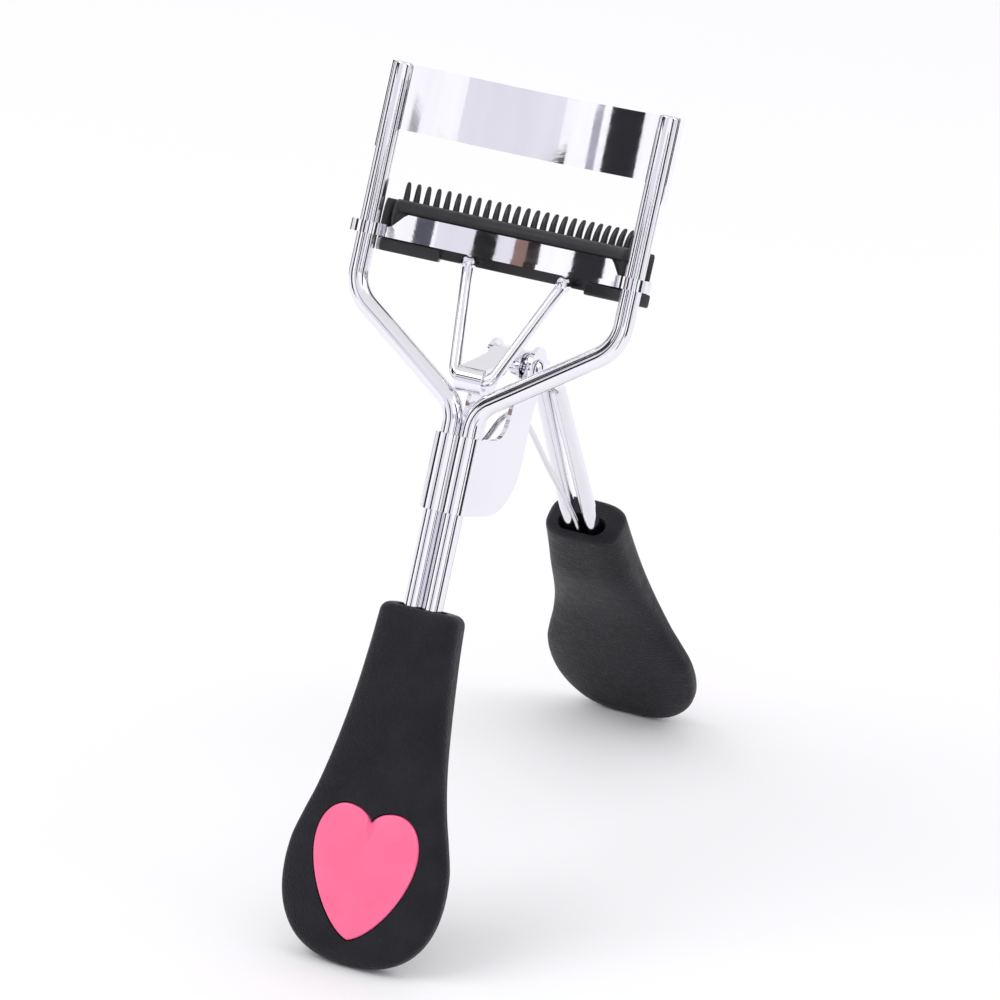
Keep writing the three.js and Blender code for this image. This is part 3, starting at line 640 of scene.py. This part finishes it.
def shade_by_angle():
    """Node group that welds a mesh and keeps its edges crisp where they are sharper than SHARP."""
    tree = bpy.data.node_groups.new("shade_by_angle", "GeometryNodeTree")
    for direction in ("INPUT", "OUTPUT"):
        tree.interface.new_socket(name="Geometry", in_out=direction, socket_type="NodeSocketGeometry")
    source, weld, faces, edges, angle, over, out = (tree.nodes.new(kind) for kind in (
        "NodeGroupInput", "GeometryNodeMergeByDistance", "GeometryNodeSetShadeSmooth",
        "GeometryNodeSetShadeSmooth", "GeometryNodeInputMeshEdgeAngle", "FunctionNodeCompare",
        "NodeGroupOutput"))
    weld.inputs["Distance"].default_value = 3e-6
    faces.domain, edges.domain = "FACE", "EDGE"
    faces.inputs["Shade Smooth"].default_value = True
    edges.inputs["Shade Smooth"].default_value = False
    over.operation = "GREATER_THAN"
    over.inputs["B"].default_value = math.radians(SHARP)
    link = tree.links.new
    link(source.outputs[0], weld.inputs["Geometry"])
    link(weld.outputs["Geometry"], faces.inputs["Geometry"])
    link(faces.outputs["Geometry"], edges.inputs["Geometry"])
    link(angle.outputs["Unsigned Angle"], over.inputs["A"])
    link(over.outputs["Result"], edges.inputs["Selection"])
    link(edges.outputs["Geometry"], out.inputs[0])
    return tree


shading = shade_by_angle()
for name, width in EDGE_WIDTHS.items():
    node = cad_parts[name]
    if "custom_normal" in node.data.attributes:
        node.data.attributes.remove(node.data.attributes["custom_normal"])
    node.data.materials.clear()
    node.data.materials.append(CHROME)
    node.modifiers.new("shading", "NODES").node_group = shading
    soften(node, width, SHARP, 2)


# ---- studio, in metres ----------------------------------------------------------------------------------
def sheet(name, corners, material):
    """Flat four-cornered piece of the studio."""
    mesh = bpy.data.meshes.new(name)
    mesh.from_pydata(corners, [], [(0, 1, 2, 3)])
    mesh.materials.append(material)
    return place(name, mesh)


paper = Nodes("paper")
paper.feed(paper.tones(paper.noise(3, 2), 0.3, (0.905, 0.9, 0.92), 0.7, (0.915, 0.91, 0.93)), "Base Color")
paper.constants(Roughness=0.7, Specular_IOR_Level=0.1)
FLOOR_HALF, FLOOR_Z = 4, -2e-5
floor = sheet("floor", [(x * FLOOR_HALF, y * FLOOR_HALF, FLOOR_Z)
                        for x, y in ((-1, -1), (1, -1), (1, 1), (-1, 1))], paper.material)

CAMERA_BEARING = 21.9                # degrees right of the front


def card(name, bearing, half, radius, z0, z1, colour, lean=0):
    """Upright card round the object, seen only in reflections. Bearings are degrees right of the camera."""
    corners = []
    for side, z, shift in ((-1, z0, 0), (1, z0, 0), (1, z1, lean), (-1, z1, lean)):
        a = math.radians(bearing + CAMERA_BEARING + side * half + shift)
        corners.append((radius * math.sin(a), -radius * math.cos(a), z))
    k = Nodes(name + "_cloth")
    dimmer = tuple(c * 0.9 for c in colour)
    k.feed(k.tones(k.noise(8, 2), 0.3, dimmer, 0.7, colour), "Emission Color")
    k.constants(Base_Color=(0, 0, 0, 1), Roughness=1.0, Specular_IOR_Level=0.0, Emission_Strength=1.0)
    obj = sheet(name, corners, k.material)
    obj.visible_camera = obj.visible_diffuse = obj.visible_shadow = False


BLACK, CHARCOAL = (0.03, 0.03, 0.035), (0.05, 0.05, 0.06)
card("card_right", 48, 8, 0.45, 0.0, 0.5, BLACK)
card("card_right_rear", 116, 8, 0.32, 0.0, 0.4, CHARCOAL)
card("card_left", -82, 9, 0.45, 0.0, 0.5, BLACK)
card("card_left_rear", -131, 8, 0.32, 0.0, 0.4, CHARCOAL)
card("card_high", -66, 13, 0.6, 0.318, 0.62, CHARCOAL, 10)
card("card_lavender", -34, 23, 0.62, 0.0, 0.7, (0.93, 0.915, 0.985), 14)

# Low cards near the object make the patches on the bar and end below what the plate reflects.
# Those that reach the floor also draw lines on the handle wires.
LOW_RADIUS, LOW_TOP = 0.2, 0.157
FLOATING, ON_FLOOR = 0.134, 0.0      # height of the foot
LOW_CARDS = [(-2, 4, FLOATING, (0.10, 0.10, 0.13)), (-29, 5, ON_FLOOR, (0.02, 0.02, 0.02)),
             (-45, 3, FLOATING, (0.30, 0.19, 0.17)), (-51, 3, FLOATING, (0.03, 0.02, 0.02)),
             (-99, 3, FLOATING, (0.25, 0.24, 0.26)), (24, 3, ON_FLOOR, (0.04, 0.04, 0.04)),
             (46, 4, FLOATING, (0.10, 0.10, 0.11)), (-66, 2, FLOATING, (0.5, 0.48, 0.56)),
             (12, 2, FLOATING, (0.45, 0.45, 0.5))]      # bearing, half width, foot, shade
for bearing, half, foot, shade in LOW_CARDS:
    card(f"card_low_{bearing}", bearing, half, LOW_RADIUS, foot, LOW_TOP, shade)
for bearing in (-75, -25, 25):
    card(f"softbox_{bearing}", bearing, 25, 0.85, 0.12, 1.0, (1.17, 1.165, 1.19))

LIGHT_TARGET = Vector((0, 0, 0.04))


def soft_light(name, spot, size, power, colour):
    data = bpy.data.lights.new(name, "AREA")
    data.shape, data.size, data.energy, data.color = "SQUARE", size, power, colour
    obj = place(name, data)
    obj.location = spot
    obj.rotation_euler = (LIGHT_TARGET - Vector(spot)).to_track_quat("-Z", "Y").to_euler()
    obj.visible_camera = False


soft_light("key", (-0.7, -0.7, 1.2), 0.8, 6.3, (1, 1, 1))
soft_light("fill", (0.9, 0.2, 0.8), 0.7, 2.2, (0.97, 0.97, 1.0))

world = bpy.data.worlds.new("studio")
bpy.context.scene.world = world
world.use_nodes = True
tree = world.node_tree
background = tree.nodes["Background"]
background.inputs["Strength"].default_value = 0.88
coords, split, sky = (tree.nodes.new(kind) for kind in ("ShaderNodeTexCoord", "ShaderNodeSeparateXYZ",
                                                        "ShaderNodeValToRGB"))
for element, at, colour in zip(sky.color_ramp.elements, (0.0, 0.8), ((0.97, 0.965, 1.0), (1.0, 1.0, 1.0))):
    element.position, element.color = at, (*colour, 1)
tree.links.new(coords.outputs["Generated"], split.inputs["Vector"])
tree.links.new(split.outputs["Z"], sky.inputs["Fac"])
tree.links.new(sky.outputs["Color"], background.inputs["Color"])

# ---- camera ---------------------------------------------------------------------------------------------
CAMERA_PLACE = (0.19727, -0.49145, 0.25187)
RIGHT, UP, AHEAD = ((0.910425, 0.405896, 0.079858), (-0.217225, 0.304789, 0.927317),
                    (-0.352054, 0.861601, -0.365657))
camera_data = bpy.data.cameras.new("camera")
camera_data.lens, camera_data.sensor_width = 169.39, 36      # millimetres
camera_data.clip_start = 0.01
camera = place("camera", camera_data)
turn = Matrix((RIGHT, UP, tuple(-c for c in AHEAD))).transposed().to_4x4()
camera.matrix_world = Matrix.Translation(CAMERA_PLACE) @ turn
bpy.context.scene.camera = camera
bpy.context.scene.view_settings.view_transform = "Standard"
